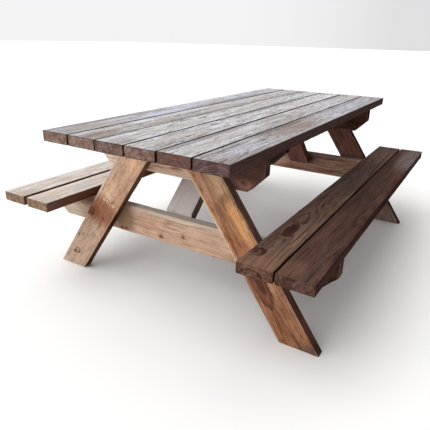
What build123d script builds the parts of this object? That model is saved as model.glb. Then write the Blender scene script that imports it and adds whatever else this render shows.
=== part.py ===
from build123d import *
import math
import os

# A-frame picnic table in planed softwood. Millimetres.
# X runs along the table (the front end is -X), +Y is the left side, +Z is up.
# Pieces are drawn about the tabletop's centreline and shifted on export, so that the
# origin is the centre of the footprint, on the ground.

# Timber sections
thickness = 42.0
section_width = 132.0
top_board_width = 136.5
batten_depth = 138.0
edge_radius = 2.0

# Overall sizes
table_height = 750.0
top_length = 2034.0
top_gaps = (7.0, 3.0, 6.0, 8.0, 7.0)
seat_height = 430.0
bench_length = 2014.0
left_bench_inner_y = 472.0
left_bench_gap = 23.0
right_bench_inner_y = 452.0
right_bench_gap = 7.0

# A-frames: each leg lies against the outer face of a batten and a seat beam
frame_outer_x = 784.0
leg_top_y = 200.0
leg_foot_y = 703.0
batten_half_length = 414.0
seat_beam_left_y = 738.0
front_seat_beam_right_y = 722.0
rear_seat_beam_right_y = 688.0
corner_cut = 68.0

# Braces from the seat beams up to the cleats under the tabletop
brace_angle = 43.5
front_brace_top_x = 312.5
rear_brace_top_x = 278.0
cleat_beyond_brace_top = 17.5
front_cleat_half_length = 326.0
rear_cleat_half_length = 265.0

# Wood screws
screw_radius = 3.0
screw_head_radius = 6.0
screw_head_height = 3.5
screw_head_chamfer = 1.2
screw_point = 6.0
screw_socket_radius = 2.5
screw_socket_depth = 2.0
point_radius = 0.3
long_screw = 140.0
long_screw_bite = 24.0
brace_head_screw = 70.0
brace_foot_screw = 60.0
brace_foot_bite = 26.0
counterbore_radius = 8.0
hole_clearance = 0.25
hole_end_gap = 0.5
cut_overrun = 1.0

# Coach screws and washers
coach_radius = 4.0
coach_length = 70.0
coach_head_across = 13.0
coach_head_height = 5.3
coach_head_crown = 0.6
coach_head_chamfer = 1.2
washer_radius = 11.0
washer_thickness = 1.6

# Screw places, as distances from the centreline on both sides
outer_board_screw_y = (300.0, 330.0)
batten_screw_y = (34.0, 112.0, 176.0, 250.0) + outer_board_screw_y
front_cleat_screw_y = (28.0, 108.0, 173.0, 233.0)
rear_cleat_screw_y = (28.0, 108.0, 160.0, 184.0)
left_bench_screw_y = (510.0, 566.0, 648.0)
right_bench_screw_y = (490.0, 546.0, 606.0)
brace_head_screw_at = (52.0, 692.0)
brace_foot_screw_y = 40.0
brace_foot_screw_rise = 34.0
# Height, and distance outward from the leg's middle
leg_screws_at = ((612.0, 20.0), (676.0, 0.0), (288.0, -12.0), (352.0, 28.0))

# Heights and planes that follow from the sizes above
top_underside = table_height - thickness
seat_underside = seat_height - thickness
beam_outer_x = frame_outer_x - thickness
beam_middle_x = beam_outer_x - thickness / 2
beam_inner_x = beam_outer_x - thickness
pilot_radius = screw_radius + hole_clearance
coach_hole_radius = coach_radius + hole_clearance
leg_slope = (leg_foot_y - leg_top_y) / top_underside
leg_cut_width = section_width * math.hypot(1.0, leg_slope)
left_edge_y = left_bench_inner_y + 2 * section_width + left_bench_gap
right_edge_y = right_bench_inner_y + 2 * section_width + right_bench_gap
footprint_shift = (right_edge_y - left_edge_y) / 2

FRONT = -1
REAR = 1
LEFT = 1
RIGHT = -1

os.makedirs("parts", exist_ok=True)


def eased(solid):
    """The solid with its arrises rounded over, as planed timber has them."""
    return fillet(solid.edges(), edge_radius)


def flat_board(length, width, y_middle, z_bottom):
    """A board lying flat along the table, centred end to end."""
    place = Pos(0, y_middle, z_bottom + thickness / 2)
    return place * eased(Box(length, width, thickness))


def board_on_edge(outline, end, x_outer):
    """A board whose face is the outline in Y and Z, its outer face at x_outer from the middle."""
    face = make_face(Plane.YZ * Polyline(*outline, close=True))
    x_low = x_outer - thickness if end == REAR else -x_outer
    return Pos(x_low, 0, 0) * eased(extrude(face, amount=thickness, dir=(1, 0, 0)))


def cut_corner_outline(right_y, left_y, z_bottom, z_top):
    """A rectangle in Y and Z with its two lower corners cut off at 45 degrees."""
    return [
        (-right_y, z_top),
        (-right_y, z_bottom + corner_cut),
        (-right_y + corner_cut, z_bottom),
        (left_y - corner_cut, z_bottom),
        (left_y, z_bottom + corner_cut),
        (left_y, z_top),
    ]


def upright_hole(x, y, z_low, z_high, radius):
    """A cylinder along Z to cut away."""
    return Pos(x, y, (z_low + z_high) / 2) * Cylinder(radius, z_high - z_low)


def level_hole(x_low, x_high, y, z, radius):
    """A cylinder along X to cut away."""
    return Pos((x_low + x_high) / 2, y, z) * Rot(0, 90, 0) * Cylinder(radius, abs(x_high - x_low))


def wood_screw(length):
    """A screw pointing up +Z, the underside of its head at the origin."""
    shank = Pos(0, 0, (length - screw_point) / 2) * Cylinder(screw_radius, length - screw_point)
    tip = Pos(0, 0, length - screw_point / 2) * Cone(screw_radius, point_radius, screw_point)
    head = Pos(0, 0, -screw_head_height / 2) * Cylinder(screw_head_radius, screw_head_height)
    head = chamfer(head.edges().group_by(Axis.Z)[0], screw_head_chamfer)
    socket = extrude(RegularPolygon(screw_socket_radius, 6), amount=screw_socket_depth)
    return head + shank + tip - Pos(0, 0, -screw_head_height) * socket


def coach_screw():
    """A hex-headed coach screw pointing up +Z, the underside of its head at the origin."""
    shank_length = coach_length - 2 * coach_radius
    shank = Pos(0, 0, shank_length / 2) * Cylinder(coach_radius, shank_length)
    tip = Pos(0, 0, coach_length - coach_radius) * Cone(coach_radius, point_radius, 2 * coach_radius)
    flats = RegularPolygon(coach_head_across / 2, 6, major_radius=False)
    head = Pos(0, 0, -coach_head_height) * extrude(flats, amount=coach_head_height)
    crown = Cylinder(coach_head_across / 2 + coach_head_crown, coach_head_height)
    crown = Pos(0, 0, -coach_head_height / 2) * crown
    crown = chamfer(crown.edges().group_by(Axis.Z)[0], coach_head_chamfer)
    return (head & crown) + shank + tip


def washer():
    """A plain washer, its lower face at the origin."""
    ring = Cylinder(washer_radius, washer_thickness)
    ring -= Cylinder(coach_hole_radius, 2 * washer_thickness)
    return Pos(0, 0, washer_thickness / 2) * ring


def both_sides(distances):
    """Each distance on the left and on the right of the centreline."""
    return [side * y for y in distances for side in (LEFT, RIGHT)]


def outward(end):
    """The rotation that turns +Z to point outward along X at that end."""
    return Rot(0, 90 * end, 0)


def leg_middle_y(height):
    """Distance from the centreline to a leg's middle, at a height."""
    return leg_foot_y - leg_slope * height - leg_cut_width / 2


def leg_screw_places():
    """Y and Z of the coach screws of one A-frame."""
    return [
        (side * (leg_middle_y(height) + out), height)
        for side in (LEFT, RIGHT)
        for height, out in leg_screws_at
    ]


def bench_screw_places():
    """Y of the screws that hold the benches to one seat beam."""
    return list(left_bench_screw_y) + [-y for y in right_bench_screw_y]


def long_screw_seat(z_joint):
    """Height of the heads of the long screws that bite into what rests at z_joint."""
    return z_joint + long_screw_bite - long_screw


def drill_upright(solid, x, places, z_joint, z_bottom):
    """The solid with counterbored holes for long screws from below."""
    seat = long_screw_seat(z_joint)
    for y in places:
        solid -= upright_hole(x, y, z_bottom - cut_overrun, seat, counterbore_radius)
        solid -= upright_hole(x, y, seat - cut_overrun, z_joint + cut_overrun, pilot_radius)
    return solid


def drill_board(solid, x, places, z_joint, y_low, y_high):
    """The board with pilot holes for those of the long screws that reach it."""
    for y in places:
        if y_low < y < y_high:
            z_end = z_joint + long_screw_bite + hole_end_gap
            solid -= upright_hole(x, y, z_joint - cut_overrun, z_end, pilot_radius)
    return solid


def brace_top(end):
    """Distance along the table from its middle to where a brace's lower face meets the tabletop."""
    return front_brace_top_x if end == FRONT else rear_brace_top_x


def cleat_middle(end):
    """Distance along the table from its middle to the cleat at that end."""
    return brace_top(end) + cleat_beyond_brace_top


def brace_underside(end, x):
    """Height of a brace's lower face, at a distance along the table."""
    return top_underside - (x - brace_top(end)) * math.tan(math.radians(brace_angle))


def brace_foot_screw_height(end):
    """Height of the two screws through a brace's foot."""
    return brace_underside(end, beam_inner_x) + brace_foot_screw_rise


def cleat_screw_places(end):
    """Y of the screws through the cleat at that end."""
    return both_sides(front_cleat_screw_y if end == FRONT else rear_cleat_screw_y)


def top_boards():
    """The six tabletop boards, from the left edge to the right."""
    total = 6 * top_board_width + sum(top_gaps)
    y_high = total / 2
    boards = []
    for index in range(6):
        y_low = y_high - top_board_width
        board = flat_board(top_length, top_board_width, (y_low + y_high) / 2, top_underside)
        for end in (FRONT, REAR):
            battens = both_sides(batten_screw_y)
            board = drill_board(board, end * beam_middle_x, battens, top_underside, y_low, y_high)
            cleats = cleat_screw_places(end)
            board = drill_board(board, end * cleat_middle(end), cleats, top_underside, y_low, y_high)
        boards.append(board)
        if index < 5:
            y_high = y_low - top_gaps[index]
    return boards


def bench_board(side, inner_y):
    """One bench board, given the distance of its inner edge from the centreline."""
    middle = inner_y + section_width / 2
    board = flat_board(bench_length, section_width, side * middle, seat_underside)
    y_low = side * middle - section_width / 2
    y_high = side * middle + section_width / 2
    for end in (FRONT, REAR):
        places = bench_screw_places()
        board = drill_board(board, end * beam_middle_x, places, seat_underside, y_low, y_high)
    return board


def leg(end, side):
    """A splayed leg, cut level at the top and at the foot."""
    outline = [
        (side * leg_top_y, top_underside),
        (side * leg_foot_y, 0.0),
        (side * (leg_foot_y - leg_cut_width), 0.0),
        (side * (leg_top_y - leg_cut_width), top_underside),
    ]
    solid = board_on_edge(outline, end, frame_outer_x)
    bite = coach_length - thickness - washer_thickness + hole_end_gap
    x_open = end * (beam_outer_x - cut_overrun)
    x_deep = end * (beam_outer_x + bite)
    for y, z in leg_screw_places():
        if y * side > 0:
            solid -= level_hole(x_open, x_deep, y, z, coach_hole_radius)
    return solid


def drill_leg_screws(solid, end, z_low, z_high):
    """A cross member with the clearance holes of the leg screws between two heights."""
    x_in = end * (beam_inner_x - cut_overrun)
    x_out = end * (beam_outer_x + cut_overrun)
    for y, z in leg_screw_places():
        if z_low < z < z_high:
            solid -= level_hole(x_in, x_out, y, z, coach_hole_radius)
    return solid


def top_batten(end):
    """The batten on edge under the tabletop at one A-frame."""
    z_bottom = top_underside - batten_depth
    outline = cut_corner_outline(batten_half_length, batten_half_length, z_bottom, top_underside)
    solid = board_on_edge(outline, end, beam_outer_x)
    solid = drill_leg_screws(solid, end, z_bottom, top_underside)
    return drill_upright(solid, end * beam_middle_x, both_sides(batten_screw_y), top_underside, z_bottom)


def seat_beam(end):
    """The cross beam that carries both benches at one A-frame."""
    right_y = front_seat_beam_right_y if end == FRONT else rear_seat_beam_right_y
    z_bottom = seat_underside - section_width
    outline = cut_corner_outline(right_y, seat_beam_left_y, z_bottom, seat_underside)
    solid = board_on_edge(outline, end, beam_outer_x)
    solid = drill_leg_screws(solid, end, z_bottom, seat_underside)
    solid = drill_upright(solid, end * beam_middle_x, bench_screw_places(), seat_underside, z_bottom)
    x_in = end * (beam_inner_x - cut_overrun)
    x_deep = end * (beam_inner_x + brace_foot_screw - brace_foot_bite + hole_end_gap)
    for y in both_sides([brace_foot_screw_y]):
        solid -= level_hole(x_in, x_deep, y, brace_foot_screw_height(end), pilot_radius)
    return solid


def brace_cleat(end):
    """The shorter batten on edge that a brace's top end bears on."""
    half_length = front_cleat_half_length if end == FRONT else rear_cleat_half_length
    z_bottom = top_underside - batten_depth
    outline = cut_corner_outline(half_length, half_length, z_bottom, top_underside)
    middle = cleat_middle(end)
    solid = board_on_edge(outline, end, middle + thickness / 2)
    solid = drill_upright(solid, end * middle, cleat_screw_places(end), top_underside, z_bottom)
    y_out, z = brace_head_screw_at
    x_in = end * (middle - thickness / 2 - cut_overrun)
    x_out = end * (middle + thickness / 2 + cut_overrun)
    for y in both_sides([y_out]):
        solid -= level_hole(x_in, x_out, y, z, pilot_radius)
    return solid


def brace(end):
    """A flat board on the centreline, from the seat beam's inner face up to the cleat."""
    rise = thickness / math.cos(math.radians(brace_angle))
    upper_top_x = brace_top(end) + thickness / math.sin(math.radians(brace_angle))
    cleat_outer_x = cleat_middle(end) + thickness / 2
    cleat_inner_x = cleat_middle(end) - thickness / 2
    foot_z = brace_underside(end, beam_inner_x)
    outline = [
        (end * beam_inner_x, foot_z),
        (end * cleat_outer_x, brace_underside(end, cleat_outer_x)),
        (end * cleat_outer_x, top_underside),
        (end * upper_top_x, top_underside),
        (end * beam_inner_x, foot_z + rise),
    ]
    face = make_face(Plane.XZ * Polyline(*outline, close=True))
    solid = eased(extrude(face, amount=section_width / 2, both=True))
    y_head, z_head = brace_head_screw_at
    z_foot = brace_foot_screw_height(end)
    x_start = end * (cleat_outer_x - cut_overrun)
    x_deep = end * (cleat_inner_x + brace_head_screw + hole_end_gap)
    x_seat = end * (beam_inner_x - brace_foot_bite)
    x_clear = end * (beam_inner_x - brace_foot_bite - 2 * thickness)
    x_end = end * (beam_inner_x + cut_overrun)
    for side in (LEFT, RIGHT):
        solid -= level_hole(x_start, x_deep, side * y_head, z_head, pilot_radius)
        solid -= level_hole(x_clear, x_seat, side * brace_foot_screw_y, z_foot, counterbore_radius)
        solid -= level_hole(x_seat, x_end, side * brace_foot_screw_y, z_foot, pilot_radius)
    return solid


def leg_screw_set(end):
    """The coach screws of one A-frame, driven outward from the cross members' inner faces."""
    x_seat = end * (beam_inner_x - washer_thickness)
    pattern = coach_screw()
    return [Pos(x_seat, y, z) * outward(end) * pattern for y, z in leg_screw_places()]


def leg_washer_set(end):
    """The washers under those coach screws' heads."""
    x_seat = end * (beam_inner_x - washer_thickness)
    pattern = washer()
    return [Pos(x_seat, y, z) * outward(end) * pattern for y, z in leg_screw_places()]


def long_screw_set(x, places, z_joint):
    """Long screws pointing up, in a row across the table."""
    pattern = wood_screw(long_screw)
    return [Pos(x, y, long_screw_seat(z_joint)) * pattern for y in places]


def brace_screw_set(end):
    """Two screws through the cleat into a brace's head, and two through its foot into the beam."""
    y_head, z_head = brace_head_screw_at
    z_foot = brace_foot_screw_height(end)
    cleat_inner_x = cleat_middle(end) - thickness / 2
    screws = []
    for side in (LEFT, RIGHT):
        head_place = Pos(end * cleat_inner_x, side * y_head, z_head)
        screws.append(head_place * outward(end) * wood_screw(brace_head_screw))
        foot_place = Pos(end * (beam_inner_x - brace_foot_bite), side * brace_foot_screw_y, z_foot)
        screws.append(foot_place * outward(end) * wood_screw(brace_foot_screw))
    return screws


def save(name, solids):
    """Write one node, moved so that the footprint's centre is the origin."""
    moved = [Pos(0, footprint_shift, 0) * solid for solid in solids]
    shape = moved[0] if len(moved) == 1 else Compound(children=moved)
    export_step(shape, f"parts/{name}.step")


for number, board in enumerate(top_boards(), start=1):
    save(f"top_board_{number}", [board])

save("bench_left_inner_board", [bench_board(LEFT, left_bench_inner_y)])
save("bench_left_outer_board", [bench_board(LEFT, left_bench_inner_y + section_width + left_bench_gap)])
save("bench_right_inner_board", [bench_board(RIGHT, right_bench_inner_y)])
save("bench_right_outer_board", [bench_board(RIGHT, right_bench_inner_y + section_width + right_bench_gap)])

for end, end_name in ((FRONT, "front"), (REAR, "rear")):
    save(f"leg_{end_name}_left", [leg(end, LEFT)])
    save(f"leg_{end_name}_right", [leg(end, RIGHT)])
    save(f"top_batten_{end_name}", [top_batten(end)])
    save(f"seat_beam_{end_name}", [seat_beam(end)])
    save(f"brace_{end_name}", [brace(end)])
    save(f"brace_cleat_{end_name}", [brace_cleat(end)])
    save(f"leg_screws_{end_name}", leg_screw_set(end))
    save(f"leg_washers_{end_name}", leg_washer_set(end))
    top_screws = long_screw_set(end * beam_middle_x, both_sides(batten_screw_y), top_underside)
    save(f"top_screws_{end_name}", top_screws)
    cleat_screws = long_screw_set(end * cleat_middle(end), cleat_screw_places(end), top_underside)
    save(f"cleat_screws_{end_name}", cleat_screws)
    bench_screws = long_screw_set(end * beam_middle_x, bench_screw_places(), seat_underside)
    save(f"bench_screws_{end_name}", bench_screws)
    save(f"brace_screws_{end_name}", brace_screw_set(end))
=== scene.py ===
"""A weathered A-frame picnic table: detailed timber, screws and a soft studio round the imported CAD."""

import math
import zlib

import bpy
import numpy as np
from mathutils import Matrix, Vector


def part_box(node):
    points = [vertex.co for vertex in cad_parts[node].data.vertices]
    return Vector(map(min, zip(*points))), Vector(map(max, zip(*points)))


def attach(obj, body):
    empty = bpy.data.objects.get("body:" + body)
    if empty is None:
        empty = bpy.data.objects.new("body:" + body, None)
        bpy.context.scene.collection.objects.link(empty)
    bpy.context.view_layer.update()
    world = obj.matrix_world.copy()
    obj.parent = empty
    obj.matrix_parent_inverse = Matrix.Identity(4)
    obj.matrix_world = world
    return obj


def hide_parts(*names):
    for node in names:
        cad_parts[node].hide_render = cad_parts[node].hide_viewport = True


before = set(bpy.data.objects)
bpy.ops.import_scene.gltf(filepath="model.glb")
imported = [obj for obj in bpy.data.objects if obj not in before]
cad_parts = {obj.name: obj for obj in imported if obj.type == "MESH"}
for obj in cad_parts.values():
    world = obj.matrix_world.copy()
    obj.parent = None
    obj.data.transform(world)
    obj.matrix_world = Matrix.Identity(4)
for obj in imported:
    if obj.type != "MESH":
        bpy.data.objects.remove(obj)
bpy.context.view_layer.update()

X, Y, Z = np.eye(3)

# Sizes in metres that the boxes of the CAD nodes don't give
CORNER_CUT = 0.068
LEG_WIDTH = 0.132
BOARD_THICK = 0.042
BRACE_ANGLE = math.radians(43.5)
COUNTERBORE_RADIUS = 0.008
SCREW_HEAD_HEIGHT = 0.0035

# Where the face that shows most lies, through a board's thickness
FRONT_FACE = -BOARD_THICK / 2
TOP_FACE = BOARD_THICK / 2

# -------------------- camera

CAMERA_PLACE = (-2.11741, -1.06637, 1.10189)
CAMERA_YAW = math.radians(31.425)
CAMERA_PITCH = math.radians(-22.119)
CAMERA_ROLL = math.radians(1.259)
CAMERA_LENS = 36.68


def add_object(name, data):
    """A new object in the scene."""
    made = bpy.data.objects.new(name, data)
    bpy.context.scene.collection.objects.link(made)
    return made


def make_camera():
    """The camera, above the front right corner."""
    data = bpy.data.cameras.new("camera")
    data.sensor_width = 36.0
    data.lens = CAMERA_LENS
    data.clip_start, data.clip_end = 0.05, 200.0
    ahead = Vector((
        math.cos(CAMERA_YAW) * math.cos(CAMERA_PITCH),
        math.sin(CAMERA_YAW) * math.cos(CAMERA_PITCH),
        math.sin(CAMERA_PITCH),
    ))
    level = Vector((math.sin(CAMERA_YAW), -math.cos(CAMERA_YAW), 0.0))
    above = level.cross(ahead)
    right = level * math.cos(CAMERA_ROLL) + above * math.sin(CAMERA_ROLL)
    up = above * math.cos(CAMERA_ROLL) - level * math.sin(CAMERA_ROLL)
    turn = Matrix((right, up, -ahead)).transposed().to_4x4()
    camera = add_object("camera", data)
    camera.matrix_world = Matrix.Translation(CAMERA_PLACE) @ turn
    bpy.context.scene.camera = camera


# -------------------- noise for shapes

WAVE_CELLS = 1024
FACE_CELLS = 256


def name_seed(name):
    """A number that is always the same for the same name."""
    return zlib.crc32(f"{name}:0".encode()) % (2 ** 31)


def smooth(share):
    """Eases a share from 0 to 1 in and out."""
    return share * share * (3 - 2 * share)


def smooth_step(x, low, high):
    """Goes smoothly from 0 to 1 between two values."""
    return smooth(np.clip((x - low) / (high - low), 0, 1))


def wave_noise(x, seed):
    """Smooth noise from -1 to 1 along one coordinate."""
    table = np.random.default_rng(seed).uniform(-1, 1, WAVE_CELLS)
    low = np.floor(x).astype(int)
    part = smooth(x - low)
    return table[low % WAVE_CELLS] * (1 - part) + table[(low + 1) % WAVE_CELLS] * part


def face_noise(x, y, seed):
    """Smooth noise from -1 to 1 over two coordinates."""
    table = np.random.default_rng(seed).uniform(-1, 1, (FACE_CELLS, FACE_CELLS))
    xi, yi = np.floor(x).astype(int), np.floor(y).astype(int)
    xf, yf = smooth(x - xi), smooth(y - yi)
    x0, x1, y0, y1 = (i % FACE_CELLS for i in (xi, xi + 1, yi, yi + 1))
    low = table[x0, y0] * (1 - xf) + table[x1, y0] * xf
    high = table[x0, y1] * (1 - xf) + table[x1, y1] * xf
    return low * (1 - yf) + high * yf


# -------------------- boards

CUT_BLEND = 0.003


class Board:
    """Where one board lies, and how its ends are cut.

    The axes are its grain, width and thickness directions. The planes are the cuts at each end, as a
    normal and a point, and the kinks are the places across the section where two cuts meet.
    """

    def __init__(self, node, middle, axes, half, planes, kinks=((), ())):
        self.node = node
        self.middle = middle
        self.axes = np.array(axes, float)
        self.half = np.array(half, float)
        self.planes = planes
        self.kinks = kinks

    def to_world(self, local):
        return self.middle + local @ self.axes

    def to_local(self, world):
        return (world - self.middle) @ self.axes.T

    def end(self, side, v, w):
        """The grain coordinate at which the board ends, across its section."""
        found = None
        for normal, point in self.planes[side]:
            n = self.axes @ normal
            distance = (point - self.middle) @ normal
            u = (distance - v * n[1] - w * n[2]) / n[0]
            if found is None:
                found = u
            else:
                found = soft_min(found, u) if side == 1 else -soft_min(-found, -u)
        return found


def soft_min(a, b):
    """The smaller of two values, rounded over where they cross."""
    near = np.clip(0.5 + 0.5 * (b - a) / CUT_BLEND, 0, 1)
    return b * (1 - near) + a * near - CUT_BLEND * near * (1 - near)


def node_box(node):
    """The two corners of a CAD node's box."""
    return [np.array(corner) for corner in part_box(node)]


def lying_board(node):
    """A board flat along the table."""
    low, high = node_box(node)
    return Board(node, (low + high) / 2, (X, Y, Z), (high - low) / 2, ([(X, low)], [(X, high)]))


def cross_member(node):
    """A board on edge across the table, with its two lower corners cut at 45 degrees."""
    low, high = node_box(node)
    dx, dy, dz = (high - low) / 2
    planes = (
        [(Y, low), ((Y + Z) / math.sqrt(2), low + Y * CORNER_CUT)],
        [(Y, high), ((Y - Z) / math.sqrt(2), np.array([0, high[1] - CORNER_CUT, low[2]]))],
    )
    return Board(node, (low + high) / 2, (Y, Z, X), (dy, dz, dx), planes, ((-dz + CORNER_CUT,), ()))


def leg_board(node):
    """A splayed leg, its top and foot cut level."""
    low, high = node_box(node)
    dx, dy, dz = high - low
    side = 1.0 if low[1] + high[1] > 0 else -1.0
    # The slope at which a board of this width just fills its box
    root = math.sqrt(dy ** 2 + dz ** 2 - LEG_WIDTH ** 2)
    slope = (dy * dz - LEG_WIDTH * root) / (dz ** 2 - LEG_WIDTH ** 2)
    grain = np.array([0.0, -side * slope, 1.0])
    grain /= np.linalg.norm(grain)
    length = (dz + LEG_WIDTH * abs(grain[1])) / grain[2]
    half = (length / 2, LEG_WIDTH / 2, dx / 2)
    return Board(node, (low + high) / 2, (grain, np.cross(X, grain), X), half, ([(Z, low)], [(Z, high)]))


def brace_board(node):
    """A sloping brace, cut plumb at its foot, and plumb and level at its head."""
    low, high = node_box(node)
    end = 1.0 if low[0] + high[0] > 0 else -1.0
    inner_x, outer_x = sorted((abs(low[0]), abs(high[0])))
    grain = np.array([-end * math.cos(BRACE_ANGLE), 0.0, math.sin(BRACE_ANGLE)])
    thick = np.cross(grain, Y)
    if thick[2] < 0:
        thick = -thick
    foot = np.array([end * outer_x, (low[1] + high[1]) / 2, low[2]])
    head = np.array([end * inner_x, 0.0, 0.0])
    length = (outer_x - inner_x) / math.cos(BRACE_ANGLE)
    # The middle line passes half a thickness above the lower face, which starts at the foot
    middle = foot + grain * length / 2 + thick * BOARD_THICK / 2
    turn = grain[0] * thick[2] - grain[2] * thick[0]
    head_w = ((high[2] - middle[2]) * grain[0] - (head[0] - middle[0]) * grain[2]) / turn
    half = (length / 2, (high[1] - low[1]) / 2, BOARD_THICK / 2)
    planes = ([(X, foot)], [(X, head), (Z, high)])
    return Board(node, middle, (grain, np.cross(thick, grain), thick), half, planes, ((), (head_w,)))


# -------------------- board meshes

# Lines are close together near the arrises and the ends, and further apart between
ARRIS_ZONE = 0.006
ARRIS_LINES = ARRIS_ZONE * np.array([0.0, 0.12, 0.3, 0.55, 1.0])
END_ZONE = 0.06
END_LINES = np.concatenate([ARRIS_LINES, np.arange(0.009, END_ZONE, 0.004)])
SECTION_STEP = 0.0075
LENGTH_STEP = 0.012

# Wear, warp (cup, bow, crook and twist) and sawn ends
ARRIS_RADIUS = 0.0022
END_ARRIS_RADIUS = 0.0014
CHIPS = 3
# How far the arris colour reaches: worn wood and a painted highlight, and on the top boards a painted
# shade
ARRIS_LIGHT = 0.004
WARP = (0.0009, 0.0012, 0.0012, 0.0006)
FACE_WAVE = 0.00025
EDGE_WAVE = 0.0003
SAWN_ROUGHNESS = 0.0005

# Drying checks: half their width, how deep the face opens, and how the grain bends beside them
CHECK_HALF_WIDTH = 0.0011
CHECK_FACE = 0.022
CHECK_BEND, CHECK_BEND_REACH = 0.0025, 0.012

TOUCHING = 1e-6


def grid_lines(half, extra):
    """Positions across a face, close together at its two arrises and at the extra places."""
    count = max(2, int(round((2 * half - 2 * ARRIS_ZONE) / SECTION_STEP)))
    middle = np.linspace(-half + ARRIS_ZONE, half - ARRIS_ZONE, count + 1)[1:-1]
    extra = np.array(sorted(extra))
    if len(extra):
        far = np.abs(middle[:, None] - extra[None, :]).min(1) > SECTION_STEP * 0.3
        middle = middle[far]
    lines = np.concatenate([-half + ARRIS_LINES, middle, extra, half - ARRIS_LINES])
    return np.unique(np.round(lines, 6))


def grain_lines(half):
    """Positions along a board, closer together over the last few centimetres of each end."""
    count = max(2, int(round((2 * half - 2 * END_ZONE) / LENGTH_STEP)))
    middle = np.linspace(-half + END_ZONE, half - END_ZONE, count + 1)
    return np.unique(np.round(np.concatenate([-half + END_LINES, middle, half - END_LINES]), 6))


def box_surface(us, vs, ws):
    """Vertices (as coordinates) and quads of a box whose faces are divided at the given lines."""
    shape = (len(us), len(vs), len(ws))
    shell = np.zeros(shape, bool)
    shell[[0, -1]] = True
    shell[:, [0, -1]] = True
    shell[:, :, [0, -1]] = True
    index = np.full(shape, -1)
    index[shell] = np.arange(shell.sum())
    a, b, c = np.nonzero(shell)

    def quads(sheet, flip):
        found = np.stack([sheet[:-1, :-1], sheet[1:, :-1], sheet[1:, 1:], sheet[:-1, 1:]], -1)
        found = found.reshape(-1, 4)
        return found[:, ::-1] if flip else found

    faces = np.concatenate([
        quads(index[:, :, -1], False), quads(index[:, :, 0], True),
        quads(index[:, -1, :], True), quads(index[:, 0, :], False),
        quads(index[-1, :, :], False), quads(index[0, :, :], True),
    ])
    return np.stack([us[a], vs[b], ws[c]], -1), faces


def worn_radius(u, corner, seed):
    """How far one long arris is rounded over along the board, with chips here and there."""
    base = ARRIS_RADIUS * (1 + 0.45 * wave_noise(u * 9 + corner * 17, seed + corner))
    rng = np.random.default_rng(seed + 31 * corner)
    for _ in range(CHIPS):
        place = rng.uniform(-1.0, 1.0)
        length = rng.uniform(0.006, 0.022)
        deep = rng.uniform(0.0015, 0.0035)
        base = base + deep * np.exp(-((u - place) / length) ** 2)
    return np.clip(base, 0.0008, ARRIS_ZONE * 0.98)


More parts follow.
